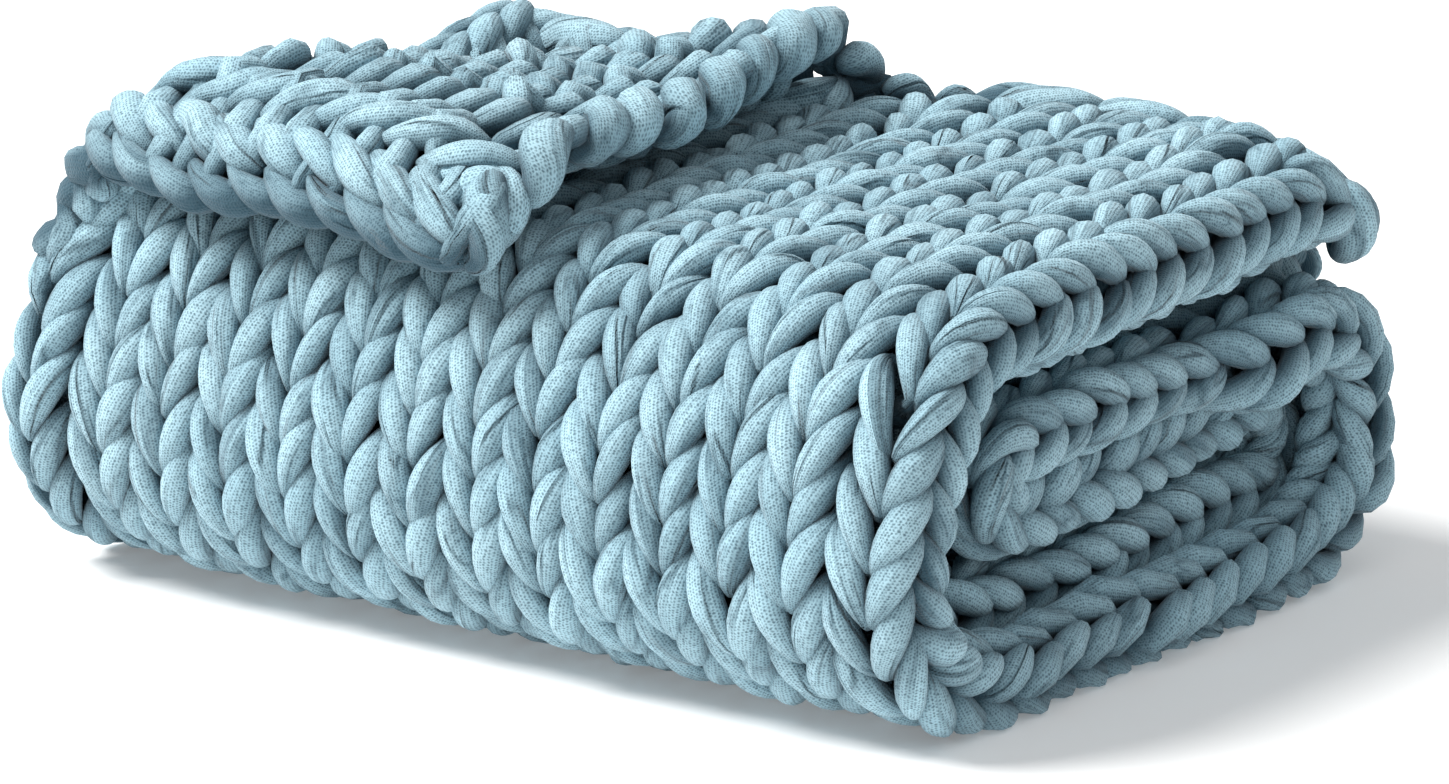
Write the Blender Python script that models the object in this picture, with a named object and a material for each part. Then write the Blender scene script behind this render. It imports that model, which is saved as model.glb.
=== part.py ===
"""A chunky hand-knit blanket, folded into a pack that lies on a flat surface.

The blanket is one strip of cloth. Its middle surface follows one back-and-forth path in the
YZ plane: over the top to the front, round the front, back along the floor, round the back, and
so on inwards, six layers in all. X runs along the front. The free end on top has its left
back corner turned over towards the front. Metres, +Z up, origin at the bottom centre.
"""

import math

import bmesh
import bpy
import numpy as np

# Cloth
CLOTH_WIDTH = 0.620
WALES = 14
RIDGE_HEIGHT = 0.019
VALLEY_HEIGHT = 0.0135
PURL_HEIGHT = 0.018
FLOOR_HEIGHT = 0.020
CHAIN_HEIGHT = 0.0225
CHAIN_LENGTH = 0.040
EDGE_SHARE = 0.55
CLOTH_COLOUR = (0.33, 0.56, 0.66, 1.0)
CLOTH_ROUGHNESS = 0.9

# One row a layer, from the top: the height of its middle at the front and the back of the pack,
# and how far it lies to the right.
LAYERS = {
    # name           z_front  z_back   x_shift
    "top": (0.231, 0.236, 0.000),
    "under_top": (0.1925, 0.196, -0.034),
    "upper_middle": (0.1525, 0.155, -0.002),
    "lower_middle": (0.0995, 0.107, -0.004),
    "upper_base": (0.0595, 0.060, -0.012),
    "base": (0.020, 0.020, 0.006),
}

# One row a fold, in the order of the path: the layers that it joins, the y where it starts,
# how far it reaches from there (towards -Y at the front), how square it is, its shift, and how
# far its upper half leans back.
FOLDS = [
    # from            to              y_start  reach   square  x_shift  lean
    ("top", "base", -0.110, -0.107, 2.4, 0.000, 0.20),
    ("base", "upper_middle", 0.170, 0.076, 2.2, 0.004, 0.0),
    ("upper_middle", "lower_middle", -0.084, -0.027, 2.0, -0.002, 0.0),
    ("lower_middle", "upper_base", 0.178, 0.0245, 2.0, -0.020, 0.0),
    ("upper_base", "under_top", -0.110, -0.066, 2.4, -0.026, 0.20),
]
TOP_END_Y = 0.245
UNDER_TOP_END_Y = 0.255
END_MARGIN = 0.040

# How the free end on top lies before its corner is turned over. One row a place along the end:
# x in the cloth, x where it lies, and how far it is drawn in from the back.
END_EDGE = [
    # x_cloth  x_lies  drawn_in
    (-0.310, -0.369, 0.109),
    (-0.110, -0.144, 0.082),
    (0.075, 0.075, 0.055),
    (0.140, 0.137, 0.014),
    (0.210, 0.208, -0.008),
    (0.310, 0.309, -0.026),
]
END_REACH = 0.440

# Both free ends droop past the back fold, most at the right corner
DROOP_HEIGHT = 0.030
DROOP_START = (0.140, 0.190)
DROOP_SIZE = (0.160, 0.080)
DROOP_REACH = 0.250

# The turned corner's fold line, from the left edge to the end: x where it lies, and distance
# along the path from the end. Its bend has one radius at each end.
TURN_START = (-0.286, 0.462)
TURN_END = (0.075, 0.055)
TURN_RADIUS_START = 0.0245
TURN_RADIUS_END = 0.0300

# The other free end, under the turned corner, stands up a little where nothing lies on it:
# how high at the left edge, where that starts across, and how far along from its end
RISE_HEIGHT = 0.022
RISE_START_X = -0.060
RISE_WIDTH = 0.200
RISE_REACH = 0.150

# Rows of faces along each run and fold of the path, in its order
ROWS_TOP = 26
ROWS_RUN = 4
ROWS_FOLDS = (13, 9, 6, 6, 9)
COLUMNS_A_WALE = 2
DENSE_POINTS = 240
TANGENT_STEP = 0.002

# The ribs fade out where the knit side faces down, over this range of its downward direction
FLOOR_FACING = 0.80
FLOOR_FADE = 0.18


def half_superellipse(y_start, z_start, z_end, reach, square, lean):
    """Points of one fold, from the height z_start to z_end, in the YZ plane."""
    turn = np.linspace(0.0, math.pi, DENSE_POINTS)
    out = np.sin(turn) ** (2.0 / square)
    up = np.sign(np.cos(turn)) * np.abs(np.cos(turn)) ** (2.0 / square)
    middle = (z_start + z_end) / 2
    half = (z_start - z_end) / 2
    leant = lean * half * up * np.sin(turn)
    return np.column_stack([y_start + reach * out + leant, middle + half * up])


def straight_run(start, end):
    share = np.linspace(0.0, 1.0, DENSE_POINTS)[:, None]
    return np.asarray(start) * (1 - share) + np.asarray(end) * share


def fold_height(layer, side):
    """The height of a layer where a fold joins it: its front height, or its back one."""
    return LAYERS[layer][0 if side < 0 else 1]


def section_pieces():
    """The runs and folds of the path in order, each as its points and its x shift."""
    pieces = []
    place = (TOP_END_Y + END_MARGIN, LAYERS["top"][1])
    for start_layer, end_layer, y_start, reach, square, x_shift, lean in FOLDS:
        z_start = fold_height(start_layer, reach)
        z_end = fold_height(end_layer, reach)
        run = straight_run(place, (y_start, z_start))
        pieces.append((run, LAYERS[start_layer][2]))
        fold = half_superellipse(y_start, z_start, z_end, reach, square, lean)
        pieces.append((fold, x_shift))
        place = (y_start, z_end)
    last = straight_run(place, (UNDER_TOP_END_Y, LAYERS["under_top"][1]))
    pieces.append((last, LAYERS["under_top"][2]))
    return pieces


def path_length(points):
    steps = np.linalg.norm(np.diff(points, axis=0), axis=1)
    return np.concatenate([[0.0], np.cumsum(steps)])


class Path:
    """The cloth's middle line in the YZ plane, read by the distance along it."""

    def __init__(self):
        pieces = section_pieces()
        self.ends = [0.0]
        for points, _ in pieces:
            self.ends.append(self.ends[-1] + path_length(points)[-1])
        joined = np.concatenate([points[:-1] for points, _ in pieces] + [pieces[-1][0][-1:]])
        self.along = path_length(joined)
        self.points = joined
        self.shift_along = [(a + b) / 2 for a, b in zip(self.ends, self.ends[1:])]
        self.shifts = [shift for _, shift in pieces]

    def place(self, along):
        y = np.interp(along, self.along, self.points[:, 0])
        z = np.interp(along, self.along, self.points[:, 1])
        return y, z

    def at(self, along):
        """(y, z), the direction of the knit side, and the x shift at distances along the path."""
        y, z = self.place(along)
        ahead_y, ahead_z = self.place(along + TANGENT_STEP)
        behind_y, behind_z = self.place(along - TANGENT_STEP)
        tangent_y = ahead_y - behind_y
        tangent_z = ahead_z - behind_z
        size = np.hypot(tangent_y, tangent_z)
        shift = np.interp(along, self.shift_along, self.shifts)
        return y, z, tangent_z / size, -tangent_y / size, shift


def smooth_table(x, column):
    """A column of END_EDGE at x, with eased steps between the rows."""
    rows = np.array(END_EDGE)
    index = np.clip(np.searchsorted(rows[:, 0], x) - 1, 0, len(rows) - 2)
    start = rows[index, 0]
    end = rows[index + 1, 0]
    share = np.clip((x - start) / (end - start), 0.0, 1.0)
    slopes = np.gradient(rows[:, column], rows[:, 0])
    span = end - start
    s2 = share**2
    s3 = share**3
    return (
        rows[index, column] * (2 * s3 - 3 * s2 + 1)
        + slopes[index] * span * (s3 - 2 * s2 + share)
        + rows[index + 1, column] * (3 * s2 - 2 * s3)
        + slopes[index + 1] * span * (s3 - s2)
    )


def ease(value):
    value = np.clip(value, 0.0, 1.0)
    return value * value * (3 - 2 * value)


def lay_end(x, from_end):
    """Where cloth near the free end lies before the corner is turned: x and distance."""
    share = np.clip(1 - from_end / END_REACH, 0.0, 1.0)
    lies_x = x + (smooth_table(x, 1) - x) * share
    lies_from_end = from_end + smooth_table(x, 2) * share
    return lies_x, lies_from_end


def end_droop(path, x, y, from_end):
    to_last = path.ends[-1] - END_MARGIN - from_end
    near_end = np.minimum(from_end, to_last) < DROOP_REACH
    across = ease((x - DROOP_START[0]) / DROOP_SIZE[0])
    return DROOP_HEIGHT * near_end * across * ease((y - DROOP_START[1]) / DROOP_SIZE[1])


def under_end_rise(path, x, from_end):
    across = ease((RISE_START_X - x) / RISE_WIDTH)
    to_last = path.ends[-1] - END_MARGIN - from_end
    return RISE_HEIGHT * across * ease(1 - to_last / RISE_REACH)


def turn_corner(lies_x, from_end, height):
    """Cloth past the fold line goes up round the bend and comes back over itself."""
    start = np.array(TURN_START)
    line = np.array(TURN_END) - start
    length = np.linalg.norm(line)
    line = line / length
    out = np.array([line[1], -line[0]])
    if out[0] > 0:
        out = -out
    rel_x = lies_x - start[0]
    rel_d = from_end - start[1]
    along = rel_x * line[0] + rel_d * line[1]
    past = rel_x * out[0] + rel_d * out[1]
    share = np.clip(along / length, 0.0, 1.0)
    radius = TURN_RADIUS_START + (TURN_RADIUS_END - TURN_RADIUS_START) * share
    angle = np.clip(past / radius, 0.0, math.pi)
    flat = np.maximum(past - math.pi * radius, 0.0)
    turned_past = (radius - height) * np.sin(angle) - flat
    turned_height = radius - (radius - height) * np.cos(angle)
    beyond = past > 0
    new_past = np.where(beyond, turned_past, past)
    new_height = np.where(beyond, turned_height, height)
    new_x = start[0] + along * line[0] + new_past * out[0]
    new_d = start[1] + along * line[1] + new_past * out[1]
    return new_x, new_d, new_height


def cloth_point(path, x, from_end, height):
    """World points of the cloth: x across it, distance from its free end on top, and height
    above its middle on the knit side."""
    lies_x, lies_d = lay_end(x, from_end)
    turned_x, turned_d, turned_height = turn_corner(lies_x, lies_d, height)
    y, z, out_y, out_z, shift = path.at(turned_d + END_MARGIN)
    lift = under_end_rise(path, x, from_end) - end_droop(path, turned_x, y, from_end)
    return np.stack(
        [
            turned_x + shift,
            y + turned_height * out_y,
            z + turned_height * out_z + lift,
        ],
        axis=-1,
    )


def path_rows(path):
    """Distances from the free end for the rows of the mesh."""
    counts = []
    for fold_rows in ROWS_FOLDS:
        counts += [ROWS_RUN, fold_rows]
    counts.append(ROWS_RUN + 1)
    counts[0] = ROWS_TOP
    edges = np.array(path.ends) - END_MARGIN
    edges[0] = 0.0
    rows = [np.linspace(a, b, n, endpoint=False) for a, b, n in zip(edges, edges[1:], counts)]
    return np.concatenate(rows + [[edges[-1]]])


def cloth_columns():
    """Places across the cloth, and 1 on a wale's ridge or 0 in the valley beside it."""
    count = WALES * COLUMNS_A_WALE + 1
    x = np.linspace(-CLOTH_WIDTH / 2, CLOTH_WIDTH / 2, count)
    ridge = np.arange(count) % COLUMNS_A_WALE != 0
    return x, ridge.astype(float)


def knit_heights(path, rows, ridge):
    """Heights of the knit face: ribs all over, and flat where the pack rests on the floor."""
    ribs = VALLEY_HEIGHT + (RIDGE_HEIGHT - VALLEY_HEIGHT) * ridge[None, :]
    out_z = path.at(rows + END_MARGIN)[3]
    on_floor = ease((-out_z - FLOOR_FACING) / FLOOR_FADE)[:, None]
    return ribs * (1 - on_floor) + FLOOR_HEIGHT * on_floor


def edge_shares(rows, columns):
    """Thinner along the two long edges, and thicker where the end rows are chained off."""
    sides = np.ones(len(columns))
    sides[[0, -1]] = EDGE_SHARE
    total = rows[-1]
    near_end = np.minimum(rows, total - rows)
    chain = CHAIN_HEIGHT / RIDGE_HEIGHT - 1
    ends = 1 + chain * (1 - ease(near_end / CHAIN_LENGTH))
    ends[[0, -1]] = EDGE_SHARE
    return ends[:, None] * sides[None, :]


def grid_faces(rows, columns, first, flip):
    faces = []
    for i in range(rows - 1):
        for j in range(columns - 1):
            a = first + i * columns + j
            near = (a, a + 1, a + columns)
            far = (a + 1, a + columns + 1, a + columns)
            faces += [near[::-1], far[::-1]] if flip else [near, far]
    return faces


def rim_faces(rows, columns):
    """Quads that close the sheet between its knit and its purl face, all round."""
    second = rows * columns
    ring = [(0, j) for j in range(columns)]
    ring += [(i, columns - 1) for i in range(1, rows)]
    ring += [(rows - 1, j) for j in range(columns - 2, -1, -1)]
    ring += [(i, 0) for i in range(rows - 2, 0, -1)]
    faces = []
    for (i, j), (k, m) in zip(ring, ring[1:] + ring[:1]):
        a = i * columns + j
        b = k * columns + m
        faces.append((a, b, b + second, a + second))
    return faces


def blanket_points(path):
    rows = path_rows(path)
    columns, ridge = cloth_columns()
    shares = edge_shares(rows, columns)
    x, from_end = np.meshgrid(columns, rows)
    knit = cloth_point(path, x, from_end, knit_heights(path, rows, ridge) * shares)
    purl = cloth_point(path, x, from_end, -PURL_HEIGHT * shares)
    points = np.concatenate([knit.reshape(-1, 3), purl.reshape(-1, 3)])
    centre = (points.min(axis=0) + points.max(axis=0)) / 2
    points -= (centre[0], centre[1], 0.0)
    return points, len(rows), len(columns)


def make_material(name, colour, roughness):
    material = bpy.data.materials.new(name)
    material.use_nodes = True
    shader = material.node_tree.nodes["Principled BSDF"]
    shader.inputs["Base Color"].default_value = colour
    shader.inputs["Roughness"].default_value = roughness
    return material


def make_blanket():
    points, rows, columns = blanket_points(Path())
    faces = grid_faces(rows, columns, 0, True)
    faces += grid_faces(rows, columns, rows * columns, False)
    faces += rim_faces(rows, columns)
    mesh = bpy.data.meshes.new("blanket")
    mesh.from_pydata(points.tolist(), [], faces)
    solid = bmesh.new()
    solid.from_mesh(mesh)
    bmesh.ops.recalc_face_normals(solid, faces=solid.faces)
    solid.to_mesh(mesh)
    solid.free()
    mesh.shade_smooth()
    mesh.materials.append(make_material("blue_knit", CLOTH_COLOUR, CLOTH_ROUGHNESS))
    blanket = bpy.data.objects.new("blanket", mesh)
    bpy.context.scene.collection.objects.link(blanket)
    return blanket


def clear_scene():
    for item in list(bpy.data.objects):
        bpy.data.objects.remove(item, do_unlink=True)


clear_scene()
make_blanket()
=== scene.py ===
"""Looks of the chunky hand-knit blanket, folded into a pack.

The cloth is knitted from one thick tube yarn. Every row of stitches is a real strand of yarn: it
is laid out flat in the cloth's own coordinates, and then carried by the folds' map, which is the
same one that the solid follows. Metres, +Z up.
"""

import math

import bpy
import numpy as np
from mathutils import Matrix, Vector


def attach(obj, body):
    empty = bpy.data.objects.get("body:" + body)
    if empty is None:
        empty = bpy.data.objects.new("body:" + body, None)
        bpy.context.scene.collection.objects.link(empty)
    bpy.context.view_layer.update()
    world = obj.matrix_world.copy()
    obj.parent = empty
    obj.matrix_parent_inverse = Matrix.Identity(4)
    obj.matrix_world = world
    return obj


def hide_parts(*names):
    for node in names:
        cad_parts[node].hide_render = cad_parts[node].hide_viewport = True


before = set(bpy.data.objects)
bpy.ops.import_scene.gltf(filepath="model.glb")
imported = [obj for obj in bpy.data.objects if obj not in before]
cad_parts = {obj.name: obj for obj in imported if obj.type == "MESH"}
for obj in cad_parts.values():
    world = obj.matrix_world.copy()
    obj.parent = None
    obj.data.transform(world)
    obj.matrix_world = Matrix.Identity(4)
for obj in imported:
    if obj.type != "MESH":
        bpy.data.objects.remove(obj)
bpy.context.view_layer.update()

# Cloth
CLOTH_WIDTH = 0.620
WALES = 14
WALE = 0.0434
COURSES = 93
FIRST_COURSE_D = 0.036
LAST_COURSE_MARGIN = 0.025
LAST_POINT_MARGIN = 0.006
PACK_CENTRE = (-0.0140, 0.01547)
MM = 0.001

# One row a layer, from the top: the height of its middle at the front and the back of the pack,
# and how far it lies to the right.
LAYERS = {
    # name           z_front  z_back   x_shift
    "top": (0.231, 0.236, 0.000),
    "under_top": (0.1925, 0.196, -0.034),
    "upper_middle": (0.1525, 0.155, -0.002),
    "lower_middle": (0.0995, 0.107, -0.004),
    "upper_base": (0.0595, 0.060, -0.012),
    "base": (0.020, 0.020, 0.006),
}

# One row a fold, in the order of the path: the layers that it joins, the y where it starts,
# how far it reaches from there (towards -Y at the front), how square it is, its shift, and how
# far its upper half leans back.
FOLDS = [
    # from            to              y_start  reach   square  x_shift  lean
    ("top", "base", -0.110, -0.107, 2.4, 0.000, 0.20),
    ("base", "upper_middle", 0.170, 0.076, 2.2, 0.004, 0.0),
    ("upper_middle", "lower_middle", -0.084, -0.027, 2.0, -0.002, 0.0),
    ("lower_middle", "upper_base", 0.178, 0.0245, 2.0, -0.020, 0.0),
    ("upper_base", "under_top", -0.110, -0.066, 2.4, -0.026, 0.20),
]
TOP_END_Y = 0.245
UNDER_TOP_END_Y = 0.255
END_MARGIN = 0.040

# How the free end on top lies before its corner is turned over, and how far from the end this
# still tells
END_EDGE = [
    # x_cloth  x_lies  drawn_in
    (-0.310, -0.369, 0.109),
    (-0.110, -0.144, 0.082),
    (0.075, 0.075, 0.055),
    (0.140, 0.137, 0.014),
    (0.210, 0.207, 0.000),
    (0.310, 0.299, 0.000),
]
END_REACH = 0.440
# Both ends of the cloth droop at the back right corner: how far, by x and y, and how far from the
# end. Such pairs are ramps: where one starts, and how much further on it is whole.
DROOP_HEIGHT = 0.034
DROOP_X = (0.140, 0.160)
DROOP_Y = (0.190, 0.080)
DROOP_REACH = 0.250
# The corner is turned over a line between two places, by their x and distance from the free end.
# The bend's radius goes from one value to the other, and dips along the given share of the line.
TURN_START = (-0.286, 0.462)
TURN_END = (0.075, 0.055)
TURN_RADIUS_START = 0.0245
TURN_RADIUS_END = 0.0300
TURN_DIP = 0.006
TURN_DIP_SHARE = (0.15, 0.80)
# The second layer's end rises at the left: how far, by x, and how far from the end
RISE_HEIGHT = 0.022
RISE_X = (-0.060, -0.200)
RISE_REACH = 0.150
# The back fold swells up under the drooping corner: how far, by x and y, between which distances
# from the free end, and where it is over, as a share of half the way between these
SWELL_HEIGHT = 0.011
SWELL_X = (0.130, 0.150)
SWELL_Y = (0.130, 0.080)
SWELL_FROM = 1.10
SWELL_TO = 1.40
SWELL_OVER = 1.5
# The end on top is pulled up beside the turned corner: how far at which x, by the distance from
# the end, and the height above the cloth's middle over which it is lost
PULL_X = (-0.020, 0.020, 0.050, 0.080, 0.105, 0.130, 0.155, 0.185, 0.215, 0.245, 0.275, 0.305)
PULL_HEIGHT = (0.000, 0.012, 0.022, 0.019, 0.012, 0.005, 0.001, 0.002, 0.006, 0.008, 0.006, 0.001)
PULL_END = (0.140, -0.120)
PULL_LOST = (0.020, 0.030)
# The curled edges of the lowest layer settle on the floor: how far, by the distance from the
# middle, and after and before which distances from the free end
SETTLE_HEIGHT = 0.009
SETTLE_X = (0.268, 0.045)
SETTLE_AFTER = (0.58, 0.10)
SETTLE_BEFORE = (1.02, -0.10)
# The turned corner's long edge stands up a little: how far, by x and distance from the free end
FLAP_STAND = 0.015
FLAP_STAND_X = (-0.120, -0.170)
FLAP_STAND_END = (0.44, -0.36)
# How many points each piece of the path has, and the step over which its direction is read
DENSE_POINTS = 240
TANGENT_STEP = 0.002

# The two long edges curl round towards the purl side, one way on the outer layers and tighter on
# the inner ones: the x where the curl starts, the radius there of the cloth's middle, the
# distance along the cloth for each radian, and the angle that it goes round. The turned
# corner's edge stays flat.
OUTER_CURL = (0.292, 0.0105, 0.0205, math.radians(190))
INNER_CURL = (0.278, 0.005, 0.0155, math.radians(190))
FLAP_CURL = (0.330, 0.0105, 0.0205, math.radians(190))
# Where, from the free end, the turned corner stops and the inner layers start
FLAP_CURL_END = (0.46, -0.03)
INNER_FROM = (1.23, 0.08)
# The outer layers' last wales lie further apart: from which x, and how far
EDGE_STRETCH = [((0.245, 0.050), 0.012), ((0.295, 0.020), 0.008)]
# The nearest that yarn comes to the curl's middle, where the curl starts and from an angle on
CURL_OUTER = -0.020
CURL_CORE = 0.003
CURL_CLOSES = 0.6

# Half a stitch, from the strand between two wales up to the top of its loop, in millimetres:
# x from the wale's middle, growth along the wale, height above the cloth's middle, and the
# yarn's half width and half thickness there.
HALF_STITCH = [
    # name           x     growth  height  width  thick
    ("between", 21.7, -39.0, -14.0, 9.6, 9.0),
    ("foot", 11.5, -29.0, -6.5, 7.0, 7.2),
    ("base", 2.8, -29.0, 5.0, 4.4, 5.2),
    ("lower", 4.8, -19.0, 11.0, 7.1, 7.6),
    ("middle", 10.6, -3.0, 12.6, 10.3, 9.4),
    ("upper", 16.6, 11.5, 8.0, 9.1, 8.9),
    ("shoulder", 20.4, 23.5, -2.0, 5.2, 6.6),
    ("crown", 13.5, 27.0, -7.5, 7.0, 7.2),
    ("top", 0.0, 38.5, -14.0, 10.0, 9.0),
]
POINTS_A_WALE = 2 * (len(HALF_STITCH) - 1)
ROW_WALES = WALES + 2
ROW_VALUES = 5

# How uneven the knitting is, in millimetres: whole stitches in x, growth and height, and legs and
# the arcs between them in these and in both half sizes of the yarn. Each point takes a share of
# its leg's, and the strand between two wales takes one of the stitch's.
STITCH_DRIFT = (1.3, 1.5, 1.1)
LEG_DRIFT = (1.0, 1.2, 0.9, 0.55, 0.45)
ARC_DRIFT = (1.2, 2.0, 1.4, 0.9, 0.7)
LEG_SHARES = (0.0, 0.1, 0.4, 0.8, 1.0, 0.8, 0.4, 0.1)
BETWEEN_SHARE = 0.5
# Slow waves in the lines of the wales and of the courses: their size in millimetres, their pace
# along and across the cloth, and their phase
WALE_WAVES = [(2.2, 11.0, 7.0, 0.0), (1.4, 23.0, -13.0, 1.3)]
COURSE_WAVES = [(2.0, 5.0, 17.0, 0.7), (1.2, -9.0, 31.0, 0.0)]

# Into how many parts each gap between two control points is split, where 0 leaves a point out
FINE = [1, 2, 3, 3, 3, 3, 2, 1] * 2
BOTH = [2, 2, 3, 3, 3, 3, 2, 2] * 2
PLAIN = [1, 1, 2, 2, 2, 2, 1, 1] * 2
ROUGH = [1] * POINTS_A_WALE
HIDDEN = [1, 0] * (POINTS_A_WALE // 2)
EVEN = [4] * POINTS_A_WALE

SEED = 11
rng = np.random.default_rng(SEED)


# ---------------- the folds' map


def half_superellipse(y_start, z_start, z_end, reach, square, lean):
    turn = np.linspace(0.0, math.pi, DENSE_POINTS)
    out = np.sin(turn) ** (2.0 / square)
    up = np.sign(np.cos(turn)) * np.abs(np.cos(turn)) ** (2.0 / square)
    middle = (z_start + z_end) / 2
    half = (z_start - z_end) / 2
    leant = lean * half * up * np.sin(turn)
    return np.column_stack([y_start + reach * out + leant, middle + half * up])


def straight_run(start, end):
    share = np.linspace(0.0, 1.0, DENSE_POINTS)[:, None]
    return np.asarray(start) * (1 - share) + np.asarray(end) * share


def fold_height(layer, side):
    return LAYERS[layer][0 if side < 0 else 1]


def section_pieces():
    pieces = []
    place = (TOP_END_Y + END_MARGIN, LAYERS["top"][1])
    for start_layer, end_layer, y_start, reach, square, x_shift, lean in FOLDS:
        z_start = fold_height(start_layer, reach)
        z_end = fold_height(end_layer, reach)
        run = straight_run(place, (y_start, z_start))
        pieces.append((run, LAYERS[start_layer][2]))
        fold = half_superellipse(y_start, z_start, z_end, reach, square, lean)
        pieces.append((fold, x_shift))
        place = (y_start, z_end)
    last = straight_run(place, (UNDER_TOP_END_Y, LAYERS["under_top"][1]))
    pieces.append((last, LAYERS["under_top"][2]))
    return pieces


def path_length(points):
    steps = np.linalg.norm(np.diff(points, axis=0), axis=1)
    return np.concatenate([[0.0], np.cumsum(steps)])


class Path:
    """The cloth's middle line in the YZ plane, read by the distance along it."""

    def __init__(self):
        pieces = section_pieces()
        self.ends = [0.0]
        for points, _ in pieces:
            self.ends.append(self.ends[-1] + path_length(points)[-1])
        joined = np.concatenate([points[:-1] for points, _ in pieces] + [pieces[-1][0][-1:]])
        self.along = path_length(joined)
        self.points = joined
        self.shift_along = [(a + b) / 2 for a, b in zip(self.ends, self.ends[1:])]
        self.shifts = [shift for _, shift in pieces]
        self.total = self.ends[-1] - END_MARGIN
        end_step = joined[-1] - joined[-2]
        self.end_direction = end_step / np.linalg.norm(end_step)

    def place(self, along):
        beyond = np.maximum(along - self.ends[-1], 0.0)
        y = np.interp(along, self.along, self.points[:, 0]) + beyond * self.end_direction[0]
        z = np.interp(along, self.along, self.points[:, 1]) + beyond * self.end_direction[1]
        return y, z

    def at(self, along):
        """(y, z), the direction of the knit side, and the x shift at distances along the path."""
        y, z = self.place(along)
        ahead_y, ahead_z = self.place(along + TANGENT_STEP)
        behind_y, behind_z = self.place(along - TANGENT_STEP)
        tangent_y = ahead_y - behind_y
        tangent_z = ahead_z - behind_z
        size = np.hypot(tangent_y, tangent_z)
        shift = np.interp(along, self.shift_along, self.shifts)
        return y, z, tangent_z / size, -tangent_y / size, shift


PATH = Path()


def smooth_table(x, column):
    """A column of END_EDGE at x, on a smooth curve through its rows."""
    rows = np.array(END_EDGE)
    index = np.clip(np.searchsorted(rows[:, 0], x) - 1, 0, len(rows) - 2)
    start = rows[index, 0]
    end = rows[index + 1, 0]
    share = np.clip((x - start) / (end - start), 0.0, 1.0)
    slopes = np.gradient(rows[:, column], rows[:, 0])
    span = end - start
    s2 = share**2
    s3 = share**3
    return (
        rows[index, column] * (2 * s3 - 3 * s2 + 1)
        + slopes[index] * span * (s3 - 2 * s2 + share)
        + rows[index + 1, column] * (3 * s2 - 2 * s3)
        + slopes[index + 1] * span * (s3 - s2)
    )


def ease(value):
    value = np.clip(value, 0.0, 1.0)
    return value * value * (3 - 2 * value)


def ramp(value, across):
    """0 where a ramp starts, 1 where it is whole, and smooth in between."""
    start, over = across
    return ease((value - start) / over)


def lay_end(x, from_end):
    inside = np.clip(x, -CLOTH_WIDTH / 2, CLOTH_WIDTH / 2)
    share = np.clip(1 - from_end / END_REACH, 0.0, 1.0)
    lies_x = x + (smooth_table(inside, 1) - inside) * share
    lies_from_end = from_end + smooth_table(inside, 2) * share
    return lies_x, lies_from_end


def end_droop(x, y, from_end):
    near_end = np.minimum(from_end, PATH.total - from_end) < DROOP_REACH
    return DROOP_HEIGHT * near_end * ramp(x, DROOP_X) * ramp(y, DROOP_Y)


def under_end_rise(x, from_end):
    return RISE_HEIGHT * ramp(x, RISE_X) * ease(1 - (PATH.total - from_end) / RISE_REACH)


def fold_swell(x, y, from_end):
    middle = (SWELL_FROM + SWELL_TO) / 2
    half = (SWELL_TO - SWELL_FROM) / 2
    near = ease(SWELL_OVER - np.abs(from_end - middle) / half)
    return SWELL_HEIGHT * ramp(x, SWELL_X) * ramp(y, SWELL_Y) * near


def end_pull(x, along, height):
    pull = np.interp(x, PULL_X, PULL_HEIGHT)
    return pull * ramp(along, PULL_END) * (1 - ramp(height, PULL_LOST))


def edge_settle(x, from_end):
    lowest = ramp(from_end, SETTLE_AFTER) * ramp(from_end, SETTLE_BEFORE)
    return SETTLE_HEIGHT * ramp(np.abs(x), SETTLE_X) * lowest


def flap_stand(x, from_end):
    return FLAP_STAND * ramp(x, FLAP_STAND_X) * ramp(from_end, FLAP_STAND_END)


def turn_corner(lies_x, from_end, height):
    """Cloth past the fold line goes up round the bend and comes back over itself."""
    start = np.array(TURN_START)
    line = np.array(TURN_END) - start
    length = np.linalg.norm(line)
    line = line / length
    out = np.array([line[1], -line[0]])
    rel_x = lies_x - start[0]
    rel_d = from_end - start[1]
    along = rel_x * line[0] + rel_d * line[1]
    past = rel_x * out[0] + rel_d * out[1]
    share = np.clip(along / length, 0.0, 1.0)
    radius = TURN_RADIUS_START + (TURN_RADIUS_END - TURN_RADIUS_START) * share
    radius = radius - TURN_DIP * np.sin(math.pi * ramp(share, TURN_DIP_SHARE)) ** 2
    angle = np.clip(past / radius, 0.0, math.pi)
    flat = np.maximum(past - math.pi * radius, 0.0)
    turned_past = (radius - height) * np.sin(angle) - flat
    turned_height = radius - (radius - height) * np.cos(angle)
    beyond = past > 0
    new_past = np.where(beyond, turned_past, past)
    new_height = np.where(beyond, turned_height, height)
    new_x = start[0] + along * line[0] + new_past * out[0]
    new_d = start[1] + along * line[1] + new_past * out[1]
    return new_x, new_d, new_height


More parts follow.
